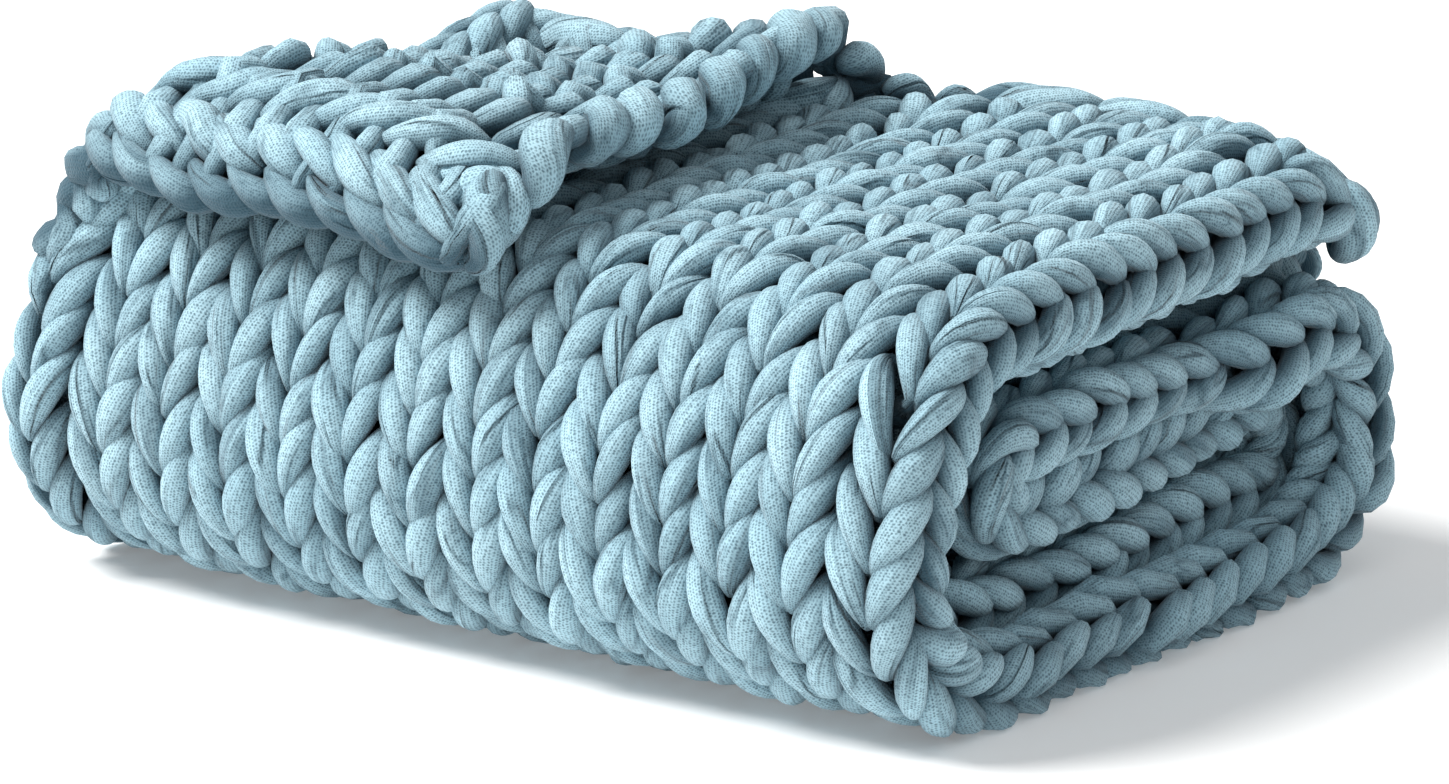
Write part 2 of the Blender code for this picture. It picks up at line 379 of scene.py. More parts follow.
def curl_edge(x, height, from_end):
    """The selvedges bend round towards the purl side."""
    turned = ramp(from_end, FLAP_CURL_END) * (x < 0)
    inner = ramp(from_end, INNER_FROM)
    start, radius, arc, most = (
        outer + (flap - outer) * turned + (within - outer) * inner
        for outer, flap, within in zip(OUTER_CURL, FLAP_CURL, INNER_CURL)
    )
    size = np.abs(x)
    for across, by in EDGE_STRETCH:
        size = size + by * ramp(np.abs(x), across) * (1 - turned) * (1 - inner)
    past = size - start
    angle = np.clip(past / arc, 0.0, most)
    flat = np.maximum(past - arc * most, 0.0)
    core = CURL_OUTER + (CURL_CORE - CURL_OUTER) * ease(angle / CURL_CLOSES)
    reach = np.maximum(radius + height, core)
    curled_x = start + reach * np.sin(angle) + flat * np.cos(angle)
    curled_height = -radius + reach * np.cos(angle) - flat * np.sin(angle)
    new_x = np.sign(x) * np.where(past > 0, curled_x, size)
    new_height = np.where(past > 0, curled_height, height)
    return new_x, new_height


def cloth_point(x, from_end, height):
    """World points of the cloth: x across it, distance from its free end on top, and height
    above its middle on the knit side."""
    edge_x, edge_height = curl_edge(x, height, from_end)
    lies_x, lies_d = lay_end(edge_x, from_end)
    turned_x, turned_d, turned_height = turn_corner(lies_x, lies_d, edge_height)
    y, z, out_y, out_z, shift = PATH.at(turned_d + END_MARGIN)
    lift = under_end_rise(edge_x, from_end) - end_droop(turned_x, y, from_end)
    lift += fold_swell(turned_x, y, from_end) + flap_stand(x, from_end)
    lift += end_pull(turned_x, turned_d, turned_height) - edge_settle(x, from_end)
    return np.stack(
        [
            turned_x + shift - PACK_CENTRE[0],
            y + turned_height * out_y - PACK_CENTRE[1],
            z + turned_height * out_z + lift,
        ],
        axis=-1,
    )


# ---------------- the yarn's route


def course_distances():
    """How far each row of stitches lies from the free end on top."""
    span = PATH.total - FIRST_COURSE_D - LAST_COURSE_MARGIN
    return FIRST_COURSE_D + np.linspace(0.0, span, COURSES)


def stitch_controls():
    """Control points of every row: (course, wale, point, value), the values being x, distance
    from the end, height, half width and half thickness. One more wale at each side is the
    turn of the yarn round the edge."""
    left = np.array([row[1:] for row in HALF_STITCH]) * MM
    right = left[1:-1][::-1].copy()
    left[:, 0] *= -1
    centres = (np.arange(ROW_WALES) - (ROW_WALES - 1) / 2) * WALE
    points = np.empty((COURSES, ROW_WALES, POINTS_A_WALE, ROW_VALUES))
    points[...] = np.concatenate([left, right])
    points[..., 0] += centres[None, :, None]
    points[..., 1] = course_distances()[:, None, None] - points[..., 1]
    points[..., 1] = np.minimum(points[..., 1], PATH.total - LAST_POINT_MARGIN)
    return points


def add_unevenness(points):
    """Whole stitches wander, and legs lean and swell by different amounts."""
    stitches = points.shape[:2]
    half = POINTS_A_WALE // 2
    drift = rng.normal(0.0, 1.0, stitches + (3,))
    drift *= np.array(STITCH_DRIFT) * MM
    weight = np.ones(POINTS_A_WALE)
    weight[0] = BETWEEN_SHARE
    points[..., :3] += drift[:, :, None, :] * weight[None, None, :, None]
    legs = rng.normal(0.0, 1.0, stitches + (2, ROW_VALUES))
    legs *= np.array(LEG_DRIFT) * MM
    arcs = rng.normal(0.0, 1.0, stitches + (2, ROW_VALUES)) * np.array(ARC_DRIFT) * MM
    points[:, :, 0, :] += arcs[:, :, 0]
    points[:, :, half, :] += arcs[:, :, 1]
    shares = np.array(LEG_SHARES)[:, None]
    points[:, :, :half, :] += legs[:, :, 0, None, :] * shares
    points[:, :, half + 1 :, :] += legs[:, :, 1, None, :] * shares[1:][::-1]
    return points


def drifted(strands, whole, point):
    """Short strands made uneven: each as a whole, and each of its points, in millimetres."""
    drift = rng.normal(0.0, 1.0, (len(strands), 1, ROW_VALUES)) * np.array(whole) * MM
    each = rng.normal(0.0, 1.0, strands.shape) * np.array(point) * MM
    return strands + drift + each


def waves(table, x, d):
    sizes = [size * np.sin(d * along + x * across + phase) for size, along, across, phase in table]
    return sum(sizes) * MM


def wander(x, d):
    """How far the lines of the wales and of the courses are off."""
    return waves(WALE_WAVES, x, d), waves(COURSE_WAVES, x, d)


def along_strand(points, first, last, samples):
    """Smooth points through the controls from first to last, with so many to each gap."""
    index = []
    share = []
    for k in range(first, last):
        count = samples[k % POINTS_A_WALE]
        index += [k] * count
        share += [i / count for i in range(count)]
    index.append(last - 1)
    share.append(1.0)
    index = np.array(index)
    t = np.array(share)[None, :, None]
    most = points.shape[1] - 1
    before = points[:, np.clip(index - 1, 0, most)]
    start = points[:, index]
    end = points[:, np.clip(index + 1, 0, most)]
    after = points[:, np.clip(index + 2, 0, most)]
    return 0.5 * (
        2 * start
        + (end - before) * t
        + (2 * before - 5 * start + 4 * end - after) * t**2
        + (3 * start - before - 3 * end + after) * t**3
    )


def whole_strand(points):
    return along_strand(points, 0, points.shape[1] - 1, EVEN)


# ---------------- tubes

SMALLEST = 1e-9
# The cloth's outward direction is read from at least this height, up to so much above it
NORMAL_FROM = 0.002
NORMAL_STEP = 0.004
# The distances from the cloth's middle up to which yarn is wholly in painted shade, and from which
# it has none
DEEP_FROM = 0.002
DEEP_TO = 0.0260
PURL_SIDE = "purl"
# Where a bend draws the purl side apart, its yarn swells: the step over which that is read, the
# stretch from which it counts, how fast and by how much at most the yarn swells, how far below
# the cloth's middle that is whole, and from which x
STRETCH_STEP = 0.005
STRETCH_FROM = 1.32
STRETCH_GAIN = 1.6
STRETCH_MOST = 0.50
STRETCH_BELOW = 0.012
STRETCH_X = (-0.230, 0.060)
# Soft folds along the yarn: how many there are round it, their size as a share of its radius, and
# how fast they turn round it, with the least and most share of that pace. They waver: by how
# much, how fast, and how much of their phase shifts it.
CREASES = [(2, 0.030, 9.0), (3, 0.030, -13.0), (5, 0.020, 21.0)]
CREASE_PACE = (0.6, 1.4)
CREASE_WAVER = (1.5, 31.0, 3.0)
# Lumps along the yarn: their size as a share of its radius, their pace, and their largest phase
LUMPS = (0.025, 83.0, 6.3)
# Yarn lower than this is pressed flat on the floor
FLOOR_SOFT = 0.004
# Each tube's patterns start somewhere within this many metres
PATTERN_SPAN = 40.0
# A tube's strip of the baked map: its width beside its length, how much of its place it fills
# along and across, its margin across, and the slack in a row of strips
STRIP_GIRTH = 0.065
STRIP_FILLS_ALONG = 0.998
STRIP_FILLS_ACROSS = 0.94
STRIP_MARGIN = 0.03
STRIP_ROW_SLACK = 1.02


def stretched(x, d, height):
    """How far the purl side is drawn apart, as round the turned corner's bend."""
    sizes = []
    for step_x, step_d in ((STRETCH_STEP, 0.0), (0.0, STRETCH_STEP)):
        ahead = cloth_point(x + step_x, d + step_d, height)
        behind = cloth_point(x - step_x, d - step_d, height)
        sizes.append(np.linalg.norm(ahead - behind, axis=-1) / (2 * STRETCH_STEP))
    wide = np.clip((np.maximum(*sizes) - STRETCH_FROM) * STRETCH_GAIN, 0.0, STRETCH_MOST)
    return 1 + wide * ramp(x, STRETCH_X) * ease(-height / STRETCH_BELOW)


def unit(v):
    return v / np.maximum(np.linalg.norm(v, axis=-1, keepdims=True), SMALLEST)


def ring_angles(around, front):
    """Angles round the yarn from its outward side, closer together on the side that shows."""
    even = np.arange(around) / around
    return 2 * math.pi * (even - front * np.sin(2 * math.pi * even) / (2 * math.pi))


def directions_along(centre, normal):
    """The ways out of the yarn and to its side at each point, and the length up to there."""
    tangent = unit(np.gradient(centre, axis=1))
    out = unit(normal - tangent * (normal * tangent).sum(-1, keepdims=True))
    steps = np.linalg.norm(np.diff(centre, axis=1), axis=-1)
    along = np.concatenate([np.zeros((len(centre), 1)), np.cumsum(steps, axis=1)], axis=1)
    return out, np.cross(tangent, out), along


def rings_round(centre, out, side, strand, swell, angles):
    width = strand[..., 3, None] * swell
    thick = strand[..., 4, None] * swell
    return (
        centre[:, :, None, :]
        + out[:, :, None, :] * (thick * np.cos(angles))[..., None]
        + side[:, :, None, :] * (width * np.sin(angles))[..., None]
    )


def tube_shape(strand, around, front, rim=None):
    """World points of the tubes' rings, their angles, lengths along them, and the painted shade of
    each point, which is darker the nearer it lies to the cloth's middle: 0 on the cloth's faces
    and 1 in its middle. A rim is the distance from the end and the height of a line that the
    tubes are wound round, or PURL_SIDE for tubes that lie on the purl side."""
    x, d, height = strand[..., 0], strand[..., 1], strand[..., 2]
    shift_x, shift_d = wander(x, d)
    x = x + shift_x
    d = d + shift_d
    centre = cloth_point(x, d, height)
    if rim == PURL_SIDE:
        normal = unit(centre - cloth_point(x, d, height + NORMAL_STEP))
        level = -height
    elif rim is None:
        lower = np.maximum(height, NORMAL_FROM)
        normal = unit(cloth_point(x, d, lower + NORMAL_STEP) - cloth_point(x, d, lower))
        level = height
    else:
        rim_d = rim[0] + shift_d
        normal = unit(centre - cloth_point(x, rim_d, np.full_like(height, rim[1])))
        level = np.hypot(d - rim_d, height - rim[1])
    out, side, along = directions_along(centre, normal)
    angles = ring_angles(around, front)
    swell = creases(along, angles, len(centre))
    if rim is None:
        swell = swell * stretched(x, d, height)[..., None]
    rings = rings_round(centre, out, side, strand, swell, angles)
    from_middle = np.abs(level[..., None] + strand[..., 4, None] * np.cos(angles))
    deep = 1 - ease((from_middle - DEEP_FROM) / (DEEP_TO - DEEP_FROM))
    return rings, angles, along, deep


def creases(along, angles, count):
    """Soft folds and lumps that run along the yarn, as a share of its radius."""
    swell = np.ones(along.shape + (len(angles),))
    place = along[..., None]
    waver, waver_pace, waver_phase = CREASE_WAVER
    for folds, size, turn in CREASES:
        phase = rng.uniform(0, 2 * math.pi, (count, 1, 1))
        pace = turn * rng.uniform(*CREASE_PACE, (count, 1, 1))
        off = waver * np.sin(place * waver_pace + phase * waver_phase)
        swell += size * np.sin(folds * angles[None, None, :] + place * pace + phase + off)
    lump, lump_pace, lump_phase = LUMPS
    lumps = np.sin(along * lump_pace + rng.uniform(0, lump_phase, (count, 1)))
    swell += lump * lumps[..., None]
    return swell


def rest_on_floor(z):
    """Yarn that would sink into the floor is pressed flat on it."""
    pressed = FLOOR_SOFT * np.exp(np.minimum((z - FLOOR_SOFT) / FLOOR_SOFT, 0.0))
    return np.where(z < FLOOR_SOFT, pressed, z)


def face_corners(length, around):
    """The ring of each corner of a tube's faces, and its place round the ring. The place after
    the last is the first one again, on the far side of the seam."""
    ring, place = np.meshgrid(np.arange(length - 1), np.arange(around), indexing="ij")
    rings = np.stack([ring, ring, ring + 1, ring + 1], axis=-1).reshape(-1, 4)
    places = np.stack([place, place + 1, place + 1, place], axis=-1).reshape(-1, 4)
    return rings, places


def put(name, data):
    """A new object in the scene."""
    made = bpy.data.objects.new(name, data)
    bpy.context.scene.collection.objects.link(made)
    return made


class Knit:
    """Collects tubes into one mesh."""

    def __init__(self, name):
        self.name = name
        self.points = []
        self.corners = []
        self.sizes = []
        self.yarn = []
        self.deep = []
        self.count = 0
        self.strips = []

    def add(self, strand, around, front=0.0, rim=None):
        self.add_tubes(strand, tube_shape(strand, around, front, rim))

    def add_tubes(self, strand, shape):
        rings, angles, along, deep = shape
        around = len(angles)
        tubes, length = rings.shape[:2]
        rings = rings.reshape(tubes, length * around, 3)
        rings[..., 2] = rest_on_floor(rings[..., 2])
        corner_rings, corner_places = face_corners(length, around)
        quads = corner_rings * around + corner_places % around
        turn = np.append(angles, 2 * math.pi)
        radius = 0.5 * (strand[..., 3] + strand[..., 4]).mean()
        for n in range(tubes):
            offset = rng.uniform(0, PATTERN_SPAN, 2)
            u = turn * radius + offset[0]
            v = along[n] + offset[1]
            yarn = np.stack([u[corner_places], v[corner_rings]], -1)
            self.add_faces(quads, yarn, deep[n].ravel()[quads])
            # The caps at the tubes' ends are wholly in painted shade
            for end, way in ((0, -1), (length - 1, 1)):
                cap = end * around + np.arange(around)[::way]
                yarn = np.stack([u[:-1][::way], np.full(around, v[end])], -1)
                self.add_faces(cap[None], yarn, np.ones(around))
            self.points.append(rings[n])
            self.strips.append((length, around, along[n], turn))
            self.count += length * around

    def add_faces(self, faces, yarn, deep):
        self.corners.append((self.count + faces).ravel())
        self.sizes.append(np.full(len(faces), faces.shape[1]))
        self.yarn.append(yarn.reshape(-1, 2))
        self.deep.append(deep.ravel())

    def baked_map(self):
        """Every tube unrolled into its own strip of one square map."""
        lengths = [along[-1] for _, _, along, _ in self.strips]
        rows = max(1, math.ceil(math.sqrt(sum(lengths) * STRIP_GIRTH) / STRIP_GIRTH))
        row_length = max(max(lengths), sum(lengths) / rows * STRIP_ROW_SLACK)
        places = []
        start = 0.0
        row = 0
        for length in lengths:
            if start + length > row_length:
                start = 0.0
                row += 1
            places.append((start / row_length, row))
            start += length
        total_rows = row + 1
        scale = 1.0 / row_length
        uvs = []
        for (length, around, along, turn), (start, row) in zip(self.strips, places):
            u = start + along * scale * STRIP_FILLS_ALONG
            across = row + STRIP_MARGIN + STRIP_FILLS_ACROSS * turn / (2 * math.pi)
            v = across / total_rows
            corner_rings, corner_places = face_corners(length, around)
            uvs.append(np.stack([u[corner_rings], v[corner_places]], -1).reshape(-1, 2))
            for end in (0, -1):
                uvs.append(np.stack([np.full(around, u[end]), v[:-1]], -1))
        return np.concatenate(uvs)

    def make(self, material):
        points = np.concatenate(self.points).astype(np.float32)
        corners = np.concatenate(self.corners).astype(np.int32)
        sizes = np.concatenate(self.sizes)
        starts = np.concatenate([[0], np.cumsum(sizes)[:-1]]).astype(np.int32)
        mesh = bpy.data.meshes.new(self.name)
        mesh.vertices.add(len(points))
        mesh.vertices.foreach_set("co", points.ravel())
        mesh.loops.add(len(corners))
        mesh.loops.foreach_set("vertex_index", corners)
        mesh.polygons.add(len(sizes))
        mesh.polygons.foreach_set("loop_start", starts)
        mesh.update(calc_edges=True)
        # The painted shade of every corner goes into a map of its own, which the material reads
        deep = np.concatenate(self.deep)
        for name, uvs in (
            ("OFBake", self.baked_map()),
            ("yarn", np.concatenate(self.yarn)),
            ("deep", np.stack([deep, deep], -1)),
        ):
            layer = mesh.uv_layers.new(name=name)
            layer.uv.foreach_set("vector", uvs.astype(np.float32).ravel())
        mesh.shade_smooth()
        mesh.validate()
        mesh.materials.append(material)
        piece = put(self.name, mesh)
        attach(piece, "root")
        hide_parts("blanket")
        triangles = int((sizes - 2).sum())
        print(f"{self.name}: {triangles} triangles")
        return triangles


# ---------------- chains along the two ends

# One link, wound round the cloth's rim: its share along the link, the angle round the rim (90 on
# the purl side, 0 at the end, -90 on the knit side), the distance from the rim's middle, and the
# yarn's half width and half thickness, in millimetres.
CHAIN_LINK = [
    # share  angle  radius  width  thick
    (-1.00, 158.0, 6.0, 5.5, 6.0),
    (-0.78, 128.0, 10.0, 9.0, 8.5),
    (-0.42, 90.0, 12.0, 12.8, 10.2),
    (0.00, 50.0, 12.5, 13.8, 10.8),
    (0.42, 10.0, 12.0, 12.8, 10.2),
    (0.78, -32.0, 9.5, 9.0, 8.5),
    (1.00, -80.0, 4.0, 5.5, 6.0),
]
# The chains: the first and last link's x, how far apart they are, which end they close, half of
# a link's length, which way round it is wound, the angle of its middle, and the share of the
# angles above that it takes
CHAINS = [
    # first  last   pitch   end     half_length  turn  middle  share
    (-0.285, 0.072, 0.0320, "top", 0.017, 1.0, 50.0, 1.0),
    (0.108, 0.305, 0.0450, "top", 0.029, 1.0, -100.0, 0.42),
    (0.088, 0.290, 0.0450, "top", 0.029, -1.0, -22.0, 0.42),
    (-0.310, 0.310, 0.0450, "under_top", 0.029, -1.0, 105.0, 0.42),
    (-0.290, 0.290, 0.0450, "under_top", 0.029, 1.0, 25.0, 0.42),
]
CHAIN_MIDDLE = CHAIN_LINK[3][1]
# How far the rim's middle is from the cloth's end, and its height
CHAIN_INSET = 0.004
CHAIN_RIM_HEIGHT = -0.003
# How uneven the chains are: of whole links and of their points, in millimetres
CHAIN_DRIFT = (2.0, 0.8, 0.8, 0.7, 0.5)
CHAIN_POINT_DRIFT = (0.8, 0.5, 0.5, 0.35, 0.3)


def chain_strands(first, last, pitch, end, half_length, turn, middle, share):
    """The links of one chain as strands, and the rim that they are wound round."""
    table = np.array(CHAIN_LINK)
    count = round((last - first) / pitch) + 1
    centres = np.linspace(first, last, count)
    rim_d, outward = (CHAIN_INSET, -1.0) if end == "top" else (PATH.total - CHAIN_INSET, 1.0)
    angle = np.radians(middle + (table[:, 1] - CHAIN_MIDDLE) * share)
    radius = table[:, 2] * MM
    links = np.empty((count, len(table), ROW_VALUES))
    links[..., 0] = centres[:, None] - table[:, 0] * half_length * turn
    links[..., 1] = rim_d + outward * radius * np.cos(angle)
    links[..., 2] = CHAIN_RIM_HEIGHT - radius * np.sin(angle)
    links[..., 3:] = table[:, 3:] * MM
    return drifted(links, CHAIN_DRIFT, CHAIN_POINT_DRIFT), (rim_d, CHAIN_RIM_HEIGHT)


# The knot at the turned corner's tip: points to the right, up and towards the front from its
# middle, and the yarn's half width and half thickness, in millimetres
KNOT_MIDDLE = (0.0185, -0.2110, 0.2610)
KNOT_RIGHT = (0.807, 0.591, 0.0)
KNOT_FRONT = (0.567, -0.775, 0.279)
KNOT_STRANDS = [
    [
        # right  up    front  width  thick
        (-21.0, -3.0, -3.0, 6.0, 6.0),
        (-13.5, 6.0, 5.5, 10.5, 9.5),
        (-3.0, 11.0, 9.5, 12.8, 10.5),
        (8.5, 11.5, 8.0, 10.5, 9.5),
        (17.0, 5.0, -1.0, 6.0, 6.0),
    ],
    [
        (-28.0, -5.0, -9.0, 6.0, 6.0),
        (-18.0, -11.5, 2.0, 10.5, 9.5),
        (-3.5, -14.5, 8.0, 12.8, 10.5),
        (9.5, -12.0, 6.0, 10.5, 9.5),
        (19.0, -4.0, -2.0, 6.0, 6.0),
    ],
    [
        (9.0, -14.0, -5.0, 6.0, 6.0),
        (14.0, -6.5, 6.0, 9.5, 9.0),
        (16.5, 3.0, 9.0, 10.8, 9.5),
        (14.0, 13.5, 4.5, 9.5, 9.0),
        (7.0, 23.0, -5.0, 6.0, 6.0),
    ],
    [
        (-34.0, 14.0, -14.0, 6.0, 6.0),
        (-20.0, 18.0, -7.0, 8.5, 8.0),
        (-4.0, 21.0, -4.0, 9.5, 8.5),
        (12.0, 24.0, -7.0, 8.5, 8.0),
        (27.0, 29.0, -14.0, 6.5, 6.5),
    ],
]
# How far behind its middle the knot's yarn faces away from, and the cosine round the yarn below
# which its inner side is painted in shade
KNOT_BEHIND = 0.010
KNOT_INNER_SIDE = -0.5

# The turned corner's long edge: one row a leg, repeated along the edge. Each point is
# x from the edge, growth, height, and the yarn's half width and half thickness, in
# millimetres.
SELVEDGE_LEGS = [
    [
        # x     growth  height  width  thick
        (4.0, -39.0, -7.0, 4.6, 5.4),
        (-1.0, -24.7, -7.5, 8.0, 8.5),
        (-4.5, -5.2, -3.5, 10.6, 11.2),
        (-4.5, 14.3, 2.5, 10.4, 11.0),
        (1.0, 33.8, 7.0, 6.0, 7.0),
    ],
    [
        (19.0, -37.7, -6.0, 4.6, 5.4),
        (16.5, -24.7, -12.0, 7.6, 7.8),
        (11.5, -5.2, -14.5, 10.4, 9.2),
        (6.5, 13.0, -12.5, 9.6, 9.0),
        (3.0, 29.9, -4.0, 5.4, 6.6),
    ],
    [
        (22.0, -37.7, -6.0, 4.6, 5.4),
        (24.5, -24.7, -12.5, 7.6, 7.8),
        (30.0, -5.2, -15.0, 10.6, 9.2),
        (36.5, 13.0, -13.0, 9.6, 9.0),
        (40.5, 29.9, -5.0, 5.4, 6.6),
    ],
]
# The edge's x, the first and last leg's distance from the free end and how many there are, and
# how uneven they are, whole and by point, in millimetres
SELVEDGE_X = -0.298
SELVEDGE_PLACES = (0.034, 0.463, 12)
SELVEDGE_DRIFT = (1.0, 1.5, 0.8, 0.7, 0.5)
SELVEDGE_POINT_DRIFT = (0.6, 0.6, 0.5, 0.35, 0.3)


def selvedge_legs(rows):
    table = np.array(rows) * MM
    places = np.linspace(*SELVEDGE_PLACES)
    legs = np.empty((len(places), len(table), ROW_VALUES))
    legs[...] = table
    legs[..., 0] += SELVEDGE_X
    legs[..., 1] = places[:, None] - legs[..., 1]
    return drifted(legs, SELVEDGE_DRIFT, SELVEDGE_POINT_DRIFT)


def knot_tubes(rows, around):
    """One strand of the knot, and the shape of its tube, which faces away from its middle."""
    strand = whole_strand(np.array([rows]) * MM)
    right = np.array(KNOT_RIGHT)
    front = np.array(KNOT_FRONT)
    up = np.cross(right, -front)
    local = strand[..., 0, None] * right + strand[..., 1, None] * up + strand[..., 2, None] * front
    out, side, along = directions_along(local, unit(local + KNOT_BEHIND * front))
    angles = ring_angles(around, 0.0)
    swell = creases(along, angles, 1)
    rings = rings_round(local + np.array(KNOT_MIDDLE), out, side, strand, swell, angles)
    # The knot's inner side is painted in shade
    inner_shade = np.broadcast_to(np.cos(angles) < KNOT_INNER_SIDE, swell.shape).astype(float)
    return strand, (rings, angles, along, inner_shade)


# ---------------- material

# The yarn's colours: of its brighter and plainer patches, and of the painted shade in its holes,
# along its pleats' lips and far within the cloth
LIGHT_YARN = (0.450, 0.662, 0.752, 1.0)
MAIN_YARN = (0.345, 0.547, 0.640, 1.0)
PAINTED_SHADE_COLOUR = (0.030, 0.075, 0.105, 1.0)
# The brighter patches: their noise's scale and detail, where they start, and how sharp they are
TONE_NOISE = (14.0, 3.0)
TONE_PATCHES = (0.30, 2.2)
# How far the painted shade darkens the holes, the pleats' lips and the yarn far within the cloth
# at most, and how soon the last is darkest
HOLE_SHADE_DARK = 0.76
PLEAT_SHADE_DARK = 0.60
WITHIN_SHADE_DARK = 0.95
WITHIN_SHADE_GAIN = 1.25
# The jersey: a stitch's width and height, how far its lines wander and at which scale, the scale
# and size of its holes' differences, the level and gain that make them dots, and their depth
JERSEY_WALE = 0.0017
JERSEY_COURSE = 0.0016
JERSEY_WANDER = 0.0011
JERSEY_WANDER_SCALE = 450.0
JERSEY_UNEVEN_SCALE = 420.0
JERSEY_UNEVEN = 2.6
HOLE_LEVEL = 0.25
HOLE_GAIN = 0.75
HOLE_DEPTH = 0.00035
# The yarn's pleats, wide and fine: their noise's scales, how sharp their lips are and how fast
# those fade, the scales and start of their patches, the power that narrows the painted shade line
# along their lips, and their depth
PLEATS = [
    # scales             sharp  fade  patches             start  power  depth
    ((34.0, 7.0, 1.0), 34.0, 0.80, (11.0, 12.0, 1.0), 0.44, 6.0, 0.0030),
    ((90.0, 15.0, 1.0), 14.0, 0.70, (23.0, 15.0, 1.0), 0.48, 5.0, 0.0014),
]
PLEAT_ROUGHNESS = 0.4
PLEAT_PATCH_SHARPNESS = 9.0
# Lumps and fuzz: the scale and roughness of their noise, and their depth
LUMPS_SCALE = 75.0
LUMPS_DEPTH = 0.0020
FUZZ_SCALE = 2400.0
FUZZ_ROUGHNESS = 0.7
FUZZ_DEPTH = 0.00010
YARN_SURFACE = {
    "Roughness": 0.95,
    "Specular IOR Level": 0.10,
    "Sheen Weight": 0.20,
    "Sheen Roughness": 0.6,
    "Sheen Tint": (0.85, 0.94, 1.0, 1.0),
}


def new_material(name, surface):
    """A material with these values on its shader, and the shader."""
    material = bpy.data.materials.new(name)
    material.use_nodes = True
    shader = material.node_tree.nodes["Principled BSDF"]
    for socket, value in surface.items():
        shader.inputs[socket].default_value = value
    return material, shader


class Nodes:
    """Short calls that add shader nodes."""

    def __init__(self, material):
        self.tree = material.node_tree

    def add(self, kind, inputs, **values):
        """The outputs of a new node, whose inputs are values or other nodes' outputs."""
        made = self.tree.nodes.new("ShaderNode" + kind)
        for key, value in values.items():
            setattr(made, key, value)
        for key, value in inputs.items():
            if hasattr(value, "is_output"):
                self.tree.links.new(value, made.inputs[key])
            else:
                made.inputs[key].default_value = value
        return made.outputs

    def math(self, operation, a, b=0.0, clamp=False):
        return self.add("Math", {0: a, 1: b}, operation=operation, use_clamp=clamp)[0]

    def noise(self, vector, scale, detail=2.0, rough=0.5, output="Fac"):
        inputs = {"Vector": vector, "Scale": scale, "Detail": detail, "Roughness": rough}
        return self.add("TexNoise", inputs)[output]

    def stretch(self, vector, scale):
        return self.add("Mapping", {"Vector": vector, "Scale": scale})["Vector"]

    def mix(self, fac, a, b):
        return self.add("Mix", {"Factor": fac, "A": a, "B": b}, data_type="RGBA")["Result"]

    def bump(self, height, distance, below):
        inputs = {"Height": height, "Distance": distance, "Strength": 1.0, **below}
        return {"Normal": self.add("Bump", inputs)["Normal"]}

    def uv_map(self, name):
        return self.add("UVMap", {}, uv_map=name)["UV"]


def jersey_holes(n, uv):
    """The jersey's own stitches: a hole in each, which the material sinks and darkens with painted
    shade, in every second column half a stitch on.
    """
    colour = n.noise(uv, JERSEY_WANDER_SCALE, 0.0, output="Color")
    drift = n.add("VectorMath", {0: colour, "Scale": JERSEY_WANDER}, operation="SCALE")[0]
    moved = n.add("VectorMath", {0: uv, 1: drift}, operation="ADD")[0]
    place = n.add("SeparateXYZ", {0: moved})
    column = n.math("MULTIPLY", place["X"], 1 / JERSEY_WALE)
    number = n.math("FLOOR", n.math("ADD", column, 0.5))
    row = n.math("MULTIPLY", place["Y"], 1 / JERSEY_COURSE)
    row = n.math("ADD", row, n.math("MULTIPLY", number, 0.5))
    across = n.math("COSINE", n.math("MULTIPLY", column, 2 * math.pi))
    down = n.math("COSINE", n.math("MULTIPLY", row, 2 * math.pi))
    both = n.math("ADD", n.math("MULTIPLY", across, 0.5), n.math("MULTIPLY", down, 0.5))
    uneven = n.math("SUBTRACT", n.noise(uv, JERSEY_UNEVEN_SCALE), 0.5)
    both = n.math("ADD", both, n.math("MULTIPLY", uneven, JERSEY_UNEVEN))
    return n.math("MULTIPLY", n.math("ADD", both, HOLE_LEVEL), HOLE_GAIN, clamp=True)


def lip(n, noise, sharpness, fade):
    """A fold that ends in a lip: raised on one side of the noise's middle, sunk on the other.
    Returns the height, around 0, and how close the lip is."""
    side = n.math("MULTIPLY", n.math("SUBTRACT", noise, 0.5), sharpness)
    step = n.math("ADD", side, 0.5, clamp=True)
    near = n.math("POWER", fade, n.math("ABSOLUTE", side))
    height = n.math("MULTIPLY", n.math("SUBTRACT", 0.5, step), near)
    return height, near


def patches(n, noise, start, sharpness):
    return n.math("MULTIPLY", n.math("SUBTRACT", noise, start), sharpness, clamp=True)


def pleats(n, uv, scales, sharpness, fade, patch_scales, patch_start, power):
    """The height of one kind of pleat, and the painted shade line along its lip."""
    noise = n.noise(n.stretch(uv, scales), 1.0, 1.0, PLEAT_ROUGHNESS)
    height, near = lip(n, noise, sharpness, fade)
    patch_noise = n.noise(n.stretch(uv, patch_scales), 1.0, 0.0)
    where = patches(n, patch_noise, patch_start, PLEAT_PATCH_SHARPNESS)
    # The painted shade along the lip
    line = n.math("MULTIPLY", n.math("POWER", near, power), where)
    return n.math("MULTIPLY", height, where), line


